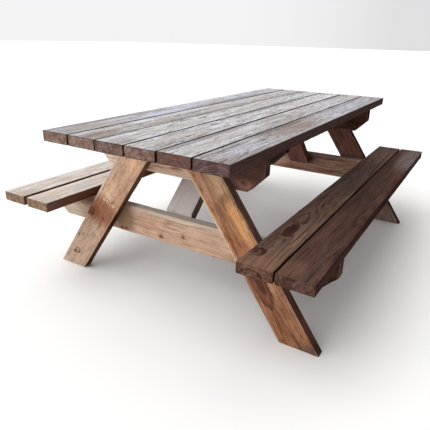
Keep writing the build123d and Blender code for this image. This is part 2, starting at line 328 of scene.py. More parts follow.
def shape_board(board, checks):
    """The points and faces of a board with worn arrises, drying checks and a little warp."""
    seed = name_seed(board.node)
    rng = np.random.default_rng(seed)
    hu, hv, hw = board.half
    check_lines = [v + d for v, *_ in checks for d in (-CHECK_HALF_WIDTH, 0.0, CHECK_HALF_WIDTH)]
    lines = (
        grain_lines(hu),
        grid_lines(hv, list(board.kinks[0]) + check_lines),
        grid_lines(hw, board.kinks[1]),
    )
    points, faces = box_surface(*lines)
    plain_v, plain_w = points[:, 1], points[:, 2]
    u, v, w = points.T.copy()

    # Long arrises
    radius = np.zeros_like(u)
    for corner, (sv, sw) in enumerate(((1, 1), (1, -1), (-1, 1), (-1, -1))):
        here = (np.sign(v) == sv) & (np.sign(w) == sw)
        radius[here] = worn_radius(u[here], corner, seed)
    radius[radius == 0] = ARRIS_RADIUS
    over_v = np.maximum(np.abs(v) - (hv - radius), 0)
    over_w = np.maximum(np.abs(w) - (hw - radius), 0)
    both = (over_v > 0) & (over_w > 0)
    shrink = np.where(both, np.maximum(over_v, over_w) / np.maximum(np.hypot(over_v, over_w), 1e-9), 1)
    v = np.sign(v) * (np.abs(v) - over_v * (1 - shrink))
    w = np.sign(w) * (np.abs(w) - over_w * (1 - shrink))

    # End arrises
    end_radius = END_ARRIS_RADIUS * (1 + 0.5 * face_noise(v * 60 + 9, w * 60 + 5, seed + 5))
    from_end = hu - np.abs(u)
    drop = np.maximum(end_radius - from_end, 0)
    inset = end_radius - np.sqrt(np.maximum(end_radius ** 2 - drop ** 2, 0))
    v = v * (1 - inset / hv)
    w = w * (1 - inset / hw)

    # Sawn ends
    at_end = from_end < TOUCHING
    low, high = board.end(0, v, w), board.end(1, v, w)
    share = (u + hu) / (2 * hu)
    rough_end = SAWN_ROUGHNESS * face_noise(v * 160, w * 160, seed + 6) * at_end
    rough_end *= np.maximum(np.abs(plain_v) / hv, np.abs(plain_w) / hw) < 0.98
    u_cut = low + (high - low) * share + rough_end

    # Warp
    length = u / hu
    cup, bow, crook, twist = rng.uniform(-1, 1, 4) * WARP
    w_warp = cup * ((v / hv) ** 2 - 0.4) + bow * (length ** 2 - 0.35) + twist * length * v / hv
    w_warp += FACE_WAVE * face_noise(u * 14, v * 40, seed + 7)
    v_warp = crook * (length ** 2 - 0.35) + EDGE_WAVE * wave_noise(u * 11, seed + 8)

    # Drying checks run in from an end along the grain, open at the upper face or the lower one
    w_check, v_check, opened = np.zeros_like(u), np.zeros_like(u), np.zeros_like(u)
    for number, (place, side, end, reach, deep) in enumerate(checks):
        from_this_end = hu - u if end > 0 else hu + u
        along = np.clip(1 - from_this_end / reach, 0, 1)
        ragged = 0.75 + 0.25 * wave_noise(u * 70, seed + 40 + number)
        depth = deep * along ** 0.6 * ragged
        on_line = np.abs(plain_v - place) < 0.0003
        inward = smooth_step(side * plain_w, hw - CHECK_FACE, hw)
        w_check -= side * depth * inward * on_line
        opened = np.maximum(opened, on_line * (along > 0) * inward)
        near = np.exp(-((plain_v - place) / CHECK_BEND_REACH) ** 2)
        v_check += CHECK_BEND * wave_noise(u * 6, seed + 60 + number) * near * along

    local = np.stack([u_cut, v + v_warp + v_check, w + w_warp + w_check], -1)
    to_v, to_w = hv - np.abs(plain_v), hw - np.abs(plain_w)
    on_v, on_w = to_v <= TOUCHING, to_w <= TOUCHING
    arris = np.where(on_v & on_w, 1.0, np.clip(1 - np.where(on_w, to_v, to_w) / ARRIS_LIGHT, 0, 1))
    arris = np.maximum(arris, np.clip(1 - from_end / ARRIS_LIGHT, 0, 1))
    arris[at_end & ~on_v & ~on_w] = 0
    return local, faces, arris, opened


def mesh_object(name, points, faces):
    mesh = bpy.data.meshes.new(name)
    mesh.from_pydata(points.tolist(), [], faces.tolist())
    mesh.polygons.foreach_set("use_smooth", np.ones(len(mesh.polygons), bool))
    mesh.update()
    return add_object(name, mesh)


def set_attribute(mesh, name, values):
    """Stores one number or one vector for each point."""
    kind, field = ("FLOAT", "value") if values.ndim == 1 else ("FLOAT_VECTOR", "vector")
    attribute = mesh.attributes.new(name, kind, "POINT")
    attribute.data.foreach_set(field, values.astype(np.float32).ravel())


def vertex_vectors(mesh, field="co"):
    """The places of a mesh's vertices, or their normals."""
    found = np.zeros(len(mesh.vertices) * 3, np.float32)
    mesh.vertices.foreach_get(field, found)
    return found.reshape(-1, 3).astype(float)


# -------------------- screw holes

HOLE_SIDES = 28
SCREW_GAP = 0.004
HOLE_OVERRUN = 0.01


def screw_middles(screws):
    """The middle of each screw of a group, found from the gaps between them across the table."""
    points = vertex_vectors(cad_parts[screws].data)
    points = points[np.argsort(points[:, 1])]
    gaps = np.nonzero(np.diff(points[:, 1]) > SCREW_GAP)[0] + 1
    return [(group.min(0) + group.max(0)) / 2 for group in np.split(points, gaps)]


def counterbores_below(screws, node):
    """Holes from a member's lower edge up to the heads of the screws inside it."""
    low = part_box(node)[0]
    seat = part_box(screws)[0].z + SCREW_HEAD_HEIGHT
    return [((x, y, low.z - HOLE_OVERRUN), (x, y, seat)) for x, y, _ in screw_middles(screws)]


def counterbores_at_foot(screws):
    """Level holes from the table's middle to the heads of the lower screws of a brace."""
    points = vertex_vectors(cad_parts[screws].data)
    foot = points[points[:, 2] < (points[:, 2].min() + points[:, 2].max()) / 2]
    head = np.abs(foot[:, 0]).min()
    outward = np.sign(foot[0, 0])
    holes = []
    for screw in (foot[foot[:, 1] < 0], foot[foot[:, 1] > 0]):
        _, y, z = (screw.min(0) + screw.max(0)) / 2
        start = outward * (head - 2 * BOARD_THICK)
        holes.append(((start, y, z), (outward * (head + SCREW_HEAD_HEIGHT), y, z)))
    return holes


def cutter_cylinder(start, end):
    """Points and faces of a closed cylinder between two points."""
    start, end = np.asarray(start, float), np.asarray(end, float)
    along = (end - start) / np.linalg.norm(end - start)
    side = np.cross(along, X if abs(along[0]) < 0.5 else Y)
    side /= np.linalg.norm(side)
    other = np.cross(along, side)
    here = np.arange(HOLE_SIDES)
    after = (here + 1) % HOLE_SIDES
    angles = here * 2 * math.pi / HOLE_SIDES
    ring = COUNTERBORE_RADIUS * (np.cos(angles)[:, None] * side + np.sin(angles)[:, None] * other)
    walls = [list(q) for q in np.stack([here, after, after + HOLE_SIDES, here + HOLE_SIDES], -1)]
    return np.concatenate([start + ring, end + ring]), walls + [list(here[::-1]), list(here + HOLE_SIDES)]


def cut_holes(piece, holes):
    """Cuts round holes, each given by its two end points."""
    points, faces, start = [], [], 0
    for low, high in holes:
        more, walls = cutter_cylinder(low, high)
        points.append(more)
        faces += [[int(i) + start for i in face] for face in walls]
        start += len(more)
    mesh = bpy.data.meshes.new("cutter")
    mesh.from_pydata(np.concatenate(points).tolist(), [], faces)
    cutter = add_object("cutter", mesh)
    modifier = piece.modifiers.new("holes", "BOOLEAN")
    modifier.operation = "DIFFERENCE"
    modifier.solver = "EXACT"
    modifier.object = cutter
    bpy.context.view_layer.update()
    cut = bpy.data.meshes.new_from_object(piece.evaluated_get(bpy.context.evaluated_depsgraph_get()))
    piece.modifiers.clear()
    piece.data = cut
    bpy.data.objects.remove(cutter)


# -------------------- shader helpers

class Shader:
    """Short ways to add nodes to one emptied tree."""

    def __init__(self, tree):
        tree.nodes.clear()
        self.tree = tree

    def add(self, kind, values=None, **settings):
        """A node with its settings, and its inputs linked or set."""
        node = self.tree.nodes.new("ShaderNode" + kind)
        for name, value in settings.items():
            setattr(node, name, value)
        for key, value in (values or {}).items():
            if isinstance(value, bpy.types.NodeSocket):
                self.tree.links.new(value, node.inputs[key])
            else:
                node.inputs[key].default_value = value
        return node

    def math(self, operation, a, b=0.0, clamp=False):
        return self.add("Math", {0: a, 1: b}, operation=operation, use_clamp=clamp).outputs[0]

    def plus(self, a, b, clamp=False):
        return self.math("ADD", a, b, clamp)

    def times(self, a, b):
        return self.math("MULTIPLY", a, b)

    def rest(self, share):
        """What a share leaves of 1."""
        return self.math("SUBTRACT", 1.0, share)

    def around(self, noise, amount):
        """A noise moved to lie around zero, and made as strong as the amount."""
        return self.times(self.plus(noise, -0.5), amount)

    def gaussian(self, value):
        """Falls from 1 to 0 as the value grows past 1."""
        return self.math("EXPONENT", self.times(self.times(value, value), -1.0))

    def step(self, value, low, high):
        node = self.add("MapRange", {"Value": value, "From Min": low, "From Max": high},
                        interpolation_type="SMOOTHSTEP")
        return node.outputs["Result"]

    def mix(self, share, a, b, blend="MIX"):
        node = self.add("Mix", {0: share, 6: a, 7: b}, data_type="RGBA", blend_type=blend)
        return node.outputs[2]

    def tone(self, color, by):
        """A colour multiplied by another."""
        return self.mix(1.0, color, by, "MULTIPLY")

    def noise(self, vector, scale, detail, rough=0.5, distort=0.0):
        node = self.add("TexNoise", {"Vector": vector, "Scale": scale, "Detail": detail,
                                     "Roughness": rough, "Distortion": distort})
        return node.outputs[0]

    def stretched(self, vector, scale, shift, detail, rough=0.5, distort=0.0):
        """Noise with a scale and a shift of its own along each axis."""
        place = self.add("Mapping", {"Vector": vector, "Location": shift, "Scale": scale}).outputs[0]
        return self.noise(place, 1.0, detail, rough, distort)

    def bump(self, height, strength, distance):
        return self.add("Bump", {"Height": height, "Strength": strength, "Distance": distance}).outputs[0]

    def vector(self, operation, a, b):
        return self.add("VectorMath", {0: a, 1: b}, operation=operation).outputs[0]

    def join(self, x, y, z):
        return self.add("CombineXYZ", {0: x, 1: y, 2: z}).outputs[0]

    def split(self, vector):
        return self.add("SeparateXYZ", {0: vector}).outputs

    def attribute(self, name, output="Fac"):
        return self.add("Attribute", attribute_name=name, attribute_type="GEOMETRY").outputs[output]

    def surface(self, values):
        """Ends a material's tree in a principled surface."""
        self.add("OutputMaterial", {0: self.add("BsdfPrincipled", values).outputs[0]})


def new_material(name):
    """A material and the shader that fills it."""
    material = bpy.data.materials.new(name)
    material.use_nodes = True
    return material, Shader(material.node_tree)


def rgb(red, green, blue):
    """A colour given as it looks on a screen, from 0 to 255, for a shader."""
    def linear(value):
        value /= 255
        return value / 12.92 if value <= 0.04045 else ((value + 0.055) / 1.055) ** 2.4
    return (linear(red), linear(green), linear(blue), 1.0)


# -------------------- timber

# "light" and "dark" are the wood between and in the latewood bands, and the "top_" colours are those of
# upward faces, with a silvery top_sheen that is partly a painted sheen. The right and under shade tones
# multiply the colours of the faces that look that way, a painted shade.
LOOK = {
    "light": rgb(196, 158, 122), "dark": rgb(128, 86, 60),
    "blotch": 0.5, "blotch_color": rgb(150, 104, 76),
    "top_light": rgb(196, 184, 174), "top_dark": rgb(132, 112, 98),
    "top_patch": rgb(164, 140, 124), "top_sheen": rgb(206, 206, 208), "top_share": 0.8,
    "right_shade_tone": (0.30, 0.27, 0.25, 1), "right_shade_plain": 0.0, "under_shade_tone": (0.5, 0.46, 0.44, 1),
    "end_tone": (0.62, 0.56, 0.52, 1), "end_rings": 0.5, "end_mottle": 2.2,
    "grime": (0.62, 0.52, 0.44, 1),
    "spacing": 0.0062, "pith": (0.012, -0.055), "wave": 0.008, "contrast": 0.5,
    "streaks": 2.2, "fibres": 1.9, "specks": 1.3, "scratches": 0.75, "mottle": 0.8,
    "knots": (), "figures": (), "spots": (),
    "arris_color": rgb(206, 190, 172), "arris": 0.45, "arris_patches": (0.35, 0.65),
}

# A knot's colours, from its halo to its core and its bark rim, and that of cracks
KNOT_HALO = rgb(136, 80, 56)
KNOT_CORE = rgb(98, 58, 44)
KNOT_RIM = rgb(48, 28, 24)
SPLIT_COLOR = rgb(38, 26, 22)

# Keeps the grain noises from clipping at the light colour
GRAIN_BASE = 0.15

# The rings widen along the trunk, and the pith wanders across the board
RING_TAPER = 0.03
PITH_LEAN = 0.01

ROUGHNESS = 0.6

# How far a face has to turn up, right or down before its colour changes, and when it is end grain
FACE_TURN = (0.35, 0.8)
END_TURN = (0.45, 0.75)


def reach_from(s, coord, centre, size):
    """Distance from a centre, in units of a size that may differ along and across the grain."""
    offset = s.vector("DIVIDE", s.vector("SUBTRACT", coord, centre), size)
    return offset, s.add("VectorMath", {0: offset}, operation="LENGTH").outputs["Value"]


def knot_field(s, coord, ragged, warped, marks, lift, centre, radius):
    """Bends the grain round one knot and adds it to the marks (core, rim, halo)."""
    offset, far = reach_from(s, coord, centre, (radius * 1.3, radius, 1.0))
    share = s.plus(far, s.times(ragged, 0.55))
    near = s.gaussian(s.times(share, 0.36))
    push = s.times(s.times(s.split(offset)[1], near), -0.8 * radius)
    warped = s.vector("ADD", warped, s.join(0.0, push, 0.0))
    lift = s.plus(lift, s.times(s.gaussian(s.times(share, 0.55)), radius * 1.2))
    core = s.rest(s.step(share, 0.7, 1.05))
    rim = s.gaussian(s.times(s.plus(share, -1.0), 4.0))
    halo = s.gaussian(s.times(share, 0.5))
    marks = s.vector("MAXIMUM", marks, s.join(core, rim, halo))
    return warped, marks, lift


def growth_rings(s, warped, lift, look, seed):
    """Latewood bands from 0 to 1 round a pith that lies off the board's middle."""
    u, v, w = s.split(warped)
    pith_v, pith_w = look["pith"]
    shift = (seed * 1.7, seed * 0.9, seed * 2.3)
    slow = s.stretched(warped, (2.2, 9.0, 9.0), shift, 2.0)
    quick = s.stretched(warped, (11.0, 60.0, 60.0), shift, 2.0)
    y = s.plus(v, s.plus(s.times(u, -PITH_LEAN), -pith_v))
    z = s.plus(w, -pith_w)
    radius = s.math("SQRT", s.plus(s.times(y, y), s.times(z, z)))
    radius = s.plus(radius, s.times(u, RING_TAPER))
    radius = s.plus(radius, s.around(slow, look["wave"] * 2))
    radius = s.plus(radius, s.around(quick, 0.003))
    radius = s.plus(radius, lift)
    count = s.math("DIVIDE", radius, look["spacing"])
    uneven = s.add("TexNoise", {"W": s.plus(s.times(count, 0.31), seed), "Scale": 1.0, "Detail": 1.0},
                   noise_dimensions="1D").outputs[0]
    count = s.plus(count, s.times(uneven, 2.4))
    part = s.math("FRACT", count)
    late = s.times(s.step(part, 0.15, 0.85), s.rest(s.step(part, 0.9, 1.0)))
    strength = s.add("TexWhiteNoise", {"W": s.math("FLOOR", count)}, noise_dimensions="1D").outputs[0]
    return s.times(late, s.plus(s.times(strength, 0.7), 0.3))


def timber_material(name, face, look):
    """Softwood in three dimensions: rings, fibres, knots, weathering, darker ends and worn arrises, with
    painted shade, sheen and highlights.
    """
    look = {**LOOK, **look}
    material, s = new_material(name)
    seed = (name_seed(name) % 997) / 13.0
    coord = s.attribute("grain", "Vector")
    facing = s.split(s.attribute("facing", "Vector"))
    shift = (seed, seed * 1.3, seed * 0.7)
    ragged = s.plus(s.stretched(coord, (45.0, 70.0, 70.0), shift, 3.0), -0.5)

    warped, marks, lift = coord, s.join(0.0, 0.0, 0.0), 0.0
    for u, v, radius in look["knots"]:
        warped, marks, lift = knot_field(s, coord, ragged, warped, marks, lift, (u, v, face), radius)
    for u, v, long, wide, rings in look["figures"]:
        far = reach_from(s, coord, (u, v, face), (long, wide, 1.0))[1]
        lift = s.plus(lift, s.times(s.gaussian(far), rings * look["spacing"]))
    core, rim, halo = s.split(marks)

    late = growth_rings(s, warped, lift, look, seed)
    fibre = s.stretched(warped, (9.0, 240.0, 240.0), shift, 3.0, 0.65)
    streak = s.stretched(warped, (1.6, 70.0, 70.0), shift, 4.0, 0.65)
    speck = s.stretched(coord, (60.0, 150.0, 150.0), shift, 3.0, 0.65)
    blotch = s.stretched(warped, (3.0, 11.0, 11.0), shift, 4.0, 0.6, 0.6)
    patch = s.stretched(warped, (15.0, 42.0, 42.0), shift, 4.0, 0.6)
    hair = s.step(s.stretched(warped, (9.0, 190.0, 190.0), (seed * 4, seed, 0.0), 2.0), 0.56, 0.66)

    grainy = s.plus(s.times(late, look["contrast"]), GRAIN_BASE)
    for noise, amount in ((streak, "streaks"), (fibre, "fibres"), (speck, "specks")):
        grainy = s.plus(grainy, s.around(noise, look[amount]))
    grainy = s.plus(grainy, s.times(hair, look["scratches"]))
    grainy = s.plus(grainy, s.around(patch, look["mottle"]))
    grainy = s.plus(grainy, s.times(halo, 0.45), clamp=True)
    body = s.mix(grainy, look["light"], look["dark"])
    body = s.mix(s.times(s.step(blotch, 0.4, 0.66), look["blotch"]), body, look["blotch_color"])

    # Upward faces weather to grey, with browner patches and a silvery bloom that is partly a painted
    # sheen
    up = s.step(facing[2], *FACE_TURN)
    cloud = s.stretched(warped, (2.6, 20.0, 20.0), (seed * 2, 0.0, seed), 4.0, 0.62)
    bloom_and_sheen = s.stretched(warped, (3.4, 48.0, 48.0), (0.0, seed, seed * 3), 4.0, 0.65)
    top = s.mix(grainy, look["top_light"], look["top_dark"])
    top = s.mix(s.times(s.step(cloud, 0.42, 0.66), 0.7), top, look["top_patch"])
    top = s.mix(s.times(s.step(bloom_and_sheen, 0.52, 0.72), 0.75), top, look["top_sheen"])
    color = s.mix(s.times(up, look["top_share"]), body, top)

    # Stains and patches at known places, and painted shadows, painted light and painted sheen
    for u, v, long, wide, tint, amount, *given in look["spots"]:
        softness = given[0] if given else SOFT
        far = reach_from(s, coord, (u, v, face), (long, wide, 1.0))[1]
        far = s.plus(far, s.times(ragged, 0.2 + softness / 2))
        inside = s.rest(s.step(far, 0.95 - softness, 0.95 + softness / 3))
        tinted = s.mix(s.times(grainy, 0.45), rgb(*tint), look["dark"])
        color = s.mix(s.times(inside, amount), color, tinted)

    # The ends are darker, and the right (-Y) side and the underside get a painted shade
    mottle = s.stretched(coord, (9.0, 75.0, 75.0), shift, 4.0, 0.65)
    grime = s.stretched(coord, (4.0, 28.0, 28.0), shift, 3.0)
    rings = s.times(s.plus(mottle, -0.4), look["end_mottle"])
    rings = s.plus(s.times(late, look["end_rings"]), rings, clamp=True)
    ending = s.tone(s.mix(rings, look["light"], look["dark"]), look["end_tone"])
    ending = s.mix(s.times(s.step(grime, 0.42, 0.62), 0.7), ending, s.tone(ending, look["grime"]))
    ending = s.mix(s.times(s.step(fibre, 0.56, 0.7), 0.45), ending, SPLIT_COLOR)
    color = s.mix(s.attribute("end_grain"), color, ending)
    right = s.step(s.times(facing[1], -1.0), *FACE_TURN)
    under = s.step(s.times(facing[2], -1.0), *FACE_TURN)
    shaded = s.mix(look["right_shade_plain"], color, look["blotch_color"])
    color = s.mix(right, color, s.tone(shaded, look["right_shade_tone"]))
    color = s.mix(under, color, s.tone(color, look["under_shade_tone"]))

    # Arrises have a colour of their own in places: worn wood and a painted highlight, and a painted shade
    # beside the gaps of the top boards; the painted-shade right side is left without it
    arris_patches = s.stretched(coord, (14.0, 60.0, 60.0), shift, 3.0)
    arris_wear_and_light = s.times(s.times(s.attribute("arris"), s.step(arris_patches, *look["arris_patches"])), look["arris"])
    color = s.mix(s.times(arris_wear_and_light, s.rest(right)), color, look["arris_color"])

    if look["knots"]:
        color = s.mix(s.times(halo, 0.4), color, KNOT_HALO)
        color = s.mix(s.times(core, s.plus(s.times(speck, -0.8), 1.05)), color, KNOT_CORE)
        crescent = s.plus(s.times(s.step(ragged, -0.12, 0.1), 0.7), 0.2)
        color = s.mix(s.times(rim, crescent), color, KNOT_RIM)
    color = s.mix(s.times(s.attribute("opened"), 0.8), color, SPLIT_COLOR)

    rough = s.plus(ROUGHNESS, s.around(fibre, 0.25))
    rough = s.plus(rough, s.times(late, -0.08), clamp=True)
    height = s.plus(s.times(late, 0.5), s.times(fibre, 0.55))
    height = s.plus(height, s.times(streak, 0.5))
    height = s.plus(height, s.times(core, -0.6))
    s.surface({"Base Color": color, "Roughness": rough, "Normal": s.bump(height, 0.55, 0.0012),
               "Specular IOR Level": 0.0})
    return material


def make_board(board, look, face, checks=(), holes=()):
    """One finished timber piece that stands for its CAD node."""
    local, faces, arris, opened = shape_board(board, checks)
    piece = mesh_object(board.node + "_timber", board.to_world(local), faces)
    set_attribute(piece.data, "arris", arris)
    set_attribute(piece.data, "opened", opened)
    if holes:
        cut_holes(piece, holes)
    mesh = piece.data
    normals = vertex_vectors(mesh, "normal")
    set_attribute(mesh, "grain", board.to_local(vertex_vectors(mesh)))
    set_attribute(mesh, "facing", normals)
    set_attribute(mesh, "end_grain", smooth_step(np.abs(normals @ board.axes[0]), *END_TURN))
    mesh.materials.clear()
    mesh.materials.append(timber_material(board.node, face, look))
    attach(piece, "root")
    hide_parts(board.node)


# -------------------- metal

def zinc_material():
    """Old zinc plating, dull and spangled, with a little rust."""
    material, s = new_material("zinc_plating")
    place = s.add("NewGeometry").outputs["Position"]
    spangle = s.add("TexVoronoi", {"Vector": place, "Scale": 420.0}).outputs["Color"]
    cloud = s.noise(place, 90.0, 4.0, 0.6)
    color = s.mix(s.step(cloud, 0.3, 0.7), (0.13, 0.12, 0.11, 1), (0.25, 0.24, 0.22, 1))
    color = s.mix(0.12, color, spangle, "OVERLAY")
    color = s.mix(s.times(s.step(cloud, 0.56, 0.68), 0.7), color, (0.13, 0.06, 0.035, 1))
    s.surface({"Base Color": color, "Metallic": 1.0, "Roughness": s.plus(0.45, s.times(cloud, 0.3)),
               "Normal": s.bump(s.noise(place, 700.0, 3.0), 0.25, 0.0004)})
    return material


# -------------------- studio

FLOOR_REACH = 60.0
FLOOR_DROP = 0.0005

KEY_ENERGY = 1.8
KEY_SPREAD = math.radians(70)
KEY_TOWARDS = (-0.66, 0.5, 0.8)

# How bright the sky is everywhere, on the left, overhead and low down behind the table
SKY_BASE = 0.1
SKY_LEFT = 0.8
SKY_ABOVE = 0.6
SKY_HORIZON = 0.65


def make_floor():
    """A pale floor, just below the feet."""
    r = FLOOR_REACH
    mesh = bpy.data.meshes.new("floor")
    mesh.from_pydata([(-r, -r, 0), (r, -r, 0), (r, r, 0), (-r, r, 0)], [], [(0, 1, 2, 3)])
    floor = add_object("floor", mesh)
    floor.location.z = -FLOOR_DROP
    material, s = new_material("floor_paint")
    place = s.add("NewGeometry").outputs["Position"]
    color = s.mix(s.noise(place, 3.0, 3.0), (0.9, 0.9, 0.89, 1), (0.93, 0.93, 0.93, 1))
    s.surface({"Base Color": color, "Roughness": 0.9, "Specular IOR Level": 0.1})
    mesh.materials.append(material)


def make_light():
    """A soft key light from the front left, and a soft sky with a pale horizon, dimmer on the right."""
    sun = bpy.data.lights.new("key", "SUN")
    sun.energy = KEY_ENERGY
    sun.angle = KEY_SPREAD
    sun.color = (1.0, 0.99, 0.975)
    key = add_object("key", sun)
    key.rotation_mode = "QUATERNION"
    key.rotation_quaternion = Vector(KEY_TOWARDS).to_track_quat("Z", "Y")

    world = bpy.data.worlds.new("studio")
    world.use_nodes = True
    bpy.context.scene.world = world
    s = Shader(world.node_tree)
    _, y, z = s.split(s.add("TexCoord").outputs["Generated"])
    side = s.times(s.step(y, -0.6, 0.5), SKY_LEFT)
    above = s.times(s.step(z, 0.45, 0.95), SKY_ABOVE)
    horizon = s.times(s.rest(s.step(z, 0.1, 0.3)), SKY_HORIZON)
    strength = s.plus(s.plus(s.math("MAXIMUM", side, horizon), above), SKY_BASE)
    background = s.add("Background", {"Color": (1.0, 1.0, 1.0, 1), "Strength": strength})
    s.add("OutputWorld", {0: background.outputs[0]})
    bpy.context.scene.view_settings.view_transform = "Standard"


# -------------------- looks of the boards

# Each row starts with its place along and across the board's face. A knot then has a radius. A figure,
# where rings rise to the face, has a length, a width and a number of rings. A spot (a stain, a bloom, a
# bit of figure, a painted shadow, or a painted patch of light or sheen) has a length, a width, a colour
# as it looks on a screen, a strength, and how softly it fades out, which is SOFT where it isn't given.
SOFT = 0.6
FIRM = 0.25
CRISP = 0.1

TOP = {
    "light": rgb(150, 120, 106), "dark": rgb(84, 58, 48), "blotch_color": rgb(112, 80, 68),
    "top_light": rgb(203, 204, 208), "top_dark": rgb(100, 89, 86), "top_share": 1.0,
    "top_patch": rgb(179, 170, 165), "top_sheen": rgb(206, 210, 220), "mottle": 0.7,
    # The right shade tone paints the shaded sides of the gaps nearly black, and the dark arris colour is
    # a painted shade along the arrises beside the gaps
    "right_shade_tone": (0.1, 0.09, 0.095, 1), "end_tone": (1.04, 1.2, 1.32, 1), "arris": 1.0,
    "arris_color": rgb(56, 48, 45), "arris_patches": (0.1, 0.35), "spacing": 0.005,
    "streaks": 1.6, "specks": 2.5, "scratches": 1.1,
}
BROWN_STAIN = (152, 134, 122)
# A painted sheen: bluish highlights on the tabletop
BLUE_SHEEN = (204, 209, 228)
GREEN_GREY = (178, 180, 172)
TOP_BOARDS = {
    1: {"pith": (0.03, -0.06), "streaks": 3.0, "top_light": rgb(200, 201, 209), "spots": (
        (-0.88, -0.02, 0.24, 0.07, (162, 155, 149), 0.7),
        (-0.75, 0.05, 0.42, 0.03, (146, 145, 148), 0.75),
        (-0.3, -0.03, 0.3, 0.05, BLUE_SHEEN, 0.8),
        (-0.08, 0.045, 0.26, 0.03, BLUE_SHEEN, 0.8),
        (0.35, -0.05, 0.6, 0.022, (150, 146, 152), 0.7),
    )},
    2: {"pith": (-0.02, -0.05), "streaks": 3.2, "top_light": rgb(200, 199, 202), "spots": (
        (-0.93, -0.02, 0.16, 0.06, (152, 140, 132), 0.8),
        (-0.6, -0.035, 0.24, 0.02, BROWN_STAIN, 0.6),
        (0.0, -0.055, 1.1, 0.018, (152, 148, 148), 0.6),
        (-0.3, 0.045, 0.5, 0.022, (214, 214, 220), 0.75),
        (-0.62, 0.032, 0.08, 0.01, (238, 236, 238), 0.9, CRISP),
        (-0.37, -0.01, 0.14, 0.012, (148, 146, 150), 0.6),
        (0.5, 0.04, 0.5, 0.025, (208, 206, 208), 0.6),
    )},
    3: {"pith": (0.04, 0.07), "top_light": rgb(216, 218, 221), "end_tone": (0.74, 0.86, 0.97, 1),
       "knots": ((-0.36, 0.016, 0.005),),
       "spots": (
        (-0.98, -0.02, 0.1, 0.06, (162, 156, 156), 0.6),
        (-0.6, 0.0, 0.3, 0.06, GREEN_GREY, 0.35),
        (0.85, 0.05, 0.3, 0.022, (150, 148, 150), 0.6),
        (0.3, -0.055, 0.5, 0.014, (158, 158, 162), 0.5),
    )},
    4: {"pith": (-0.03, -0.07), "top_light": rgb(219, 221, 226), "end_tone": (0.92, 1.0, 1.12, 1),
       "spots": (
        (-0.93, -0.04, 0.13, 0.03, (158, 150, 146), 0.6),
        (-0.75, 0.045, 0.12, 0.015, (142, 132, 130), 0.5),
        (0.2, 0.055, 0.8, 0.018, (140, 138, 140), 0.7),
        (0.7, -0.01, 0.3, 0.03, BLUE_SHEEN, 0.3),
    )},
    5: {"pith": (0.0, -0.045), "end_mottle": 1.6, "end_tone": (0.54, 0.53, 0.55, 1),
       "grime": (1.1, 0.75, 0.55, 1), "spots": (
        (-0.7, 0.055, 0.4, 0.02, (140, 132, 130), 0.75),
        (-0.2, -0.03, 0.34, 0.04, (160, 153, 150), 0.55),
        (-0.15, 0.03, 0.2, 0.03, (160, 154, 150), 0.5),
        (0.5, 0.0, 0.3, 0.03, BLUE_SHEEN, 0.35),
        (0.85, 0.055, 0.3, 0.018, (140, 138, 140), 0.6),
    )},
    6: {"pith": (-0.012, -0.095), "contrast": 0.55, "spacing": 0.0058,
       "right_shade_tone": (0.368, 0.405, 0.495, 1), "right_shade_plain": 0.6,
       "end_tone": (0.585, 0.635, 0.81, 1), "end_rings": 1.3, "end_mottle": 0.9,
       "top_light": rgb(184, 182, 186), "top_dark": rgb(86, 77, 74), "top_patch": rgb(158, 148, 146),
       "spots": (
        (-0.82, 0.0, 0.18, 0.03, (196, 196, 208), 0.6),
        (-0.96, -0.04, 0.08, 0.03, (146, 136, 134), 0.6),
        (-0.36, 0.0, 0.26, 0.08, (150, 136, 130), 0.75),
        (-0.34, 0.055, 0.36, 0.022, (124, 109, 104), 0.75),
        (0.4, 0.05, 0.6, 0.02, (148, 144, 146), 0.5),
        (0.5, 0.0, 0.42, 0.05, (184, 188, 202), 0.65),
    )},
}

# Each check's place across the board, the face it opens (1 is the upper one), its end, length and depth
DRYING_CHECKS = {
    "top_board_2": ((0.021, 1, -1, 0.1, 0.009), (-0.03, 1, 1, 0.14, 0.01)),
    "top_board_3": ((-0.042, 1, -1, 0.05, 0.014),),
    "top_board_5": ((0.014, 1, -1, 0.06, 0.008), (0.03, 1, 1, 0.12, 0.009)),
    "bench_left_outer_board": ((0.02, 1, -1, 0.07, 0.008),),
    "bench_right_inner_board": ((-0.018, 1, 1, 0.12, 0.01),),
    "bench_right_outer_board": ((0.024, 1, -1, 0.08, 0.009),),
}

BENCH_RIGHT = {
    "light": rgb(122, 90, 74), "dark": rgb(44, 29, 24), "blotch_color": rgb(76, 50, 42), "blotch": 0.4,
    "top_light": rgb(126, 98, 84), "top_dark": rgb(48, 35, 31), "top_patch": rgb(88, 63, 54),
    "top_sheen": rgb(118, 100, 91), "top_share": 0.8, "mottle": 0.5,
    "right_shade_tone": (0.31, 0.31, 0.37, 1), "end_tone": (0.93, 0.93, 1.02, 1), "arris": 0.3,
    "arris_color": rgb(84, 62, 52), "specks": 0.9, "scratches": 0.4,
}
BENCH_LEFT = {
    "light": rgb(186, 152, 126), "dark": rgb(128, 92, 70),
    "top_light": rgb(218, 213, 206), "top_dark": rgb(158, 139, 127), "top_share": 1.0,
    "top_patch": rgb(200, 182, 167), "top_sheen": rgb(212, 212, 216),
    "right_shade_tone": (0.315, 0.235, 0.217, 1), "end_tone": (0.71, 0.79, 0.86, 1), "arris": 0.2,
    "specks": 1.2, "scratches": 0.6, "mottle": 0.9,
}
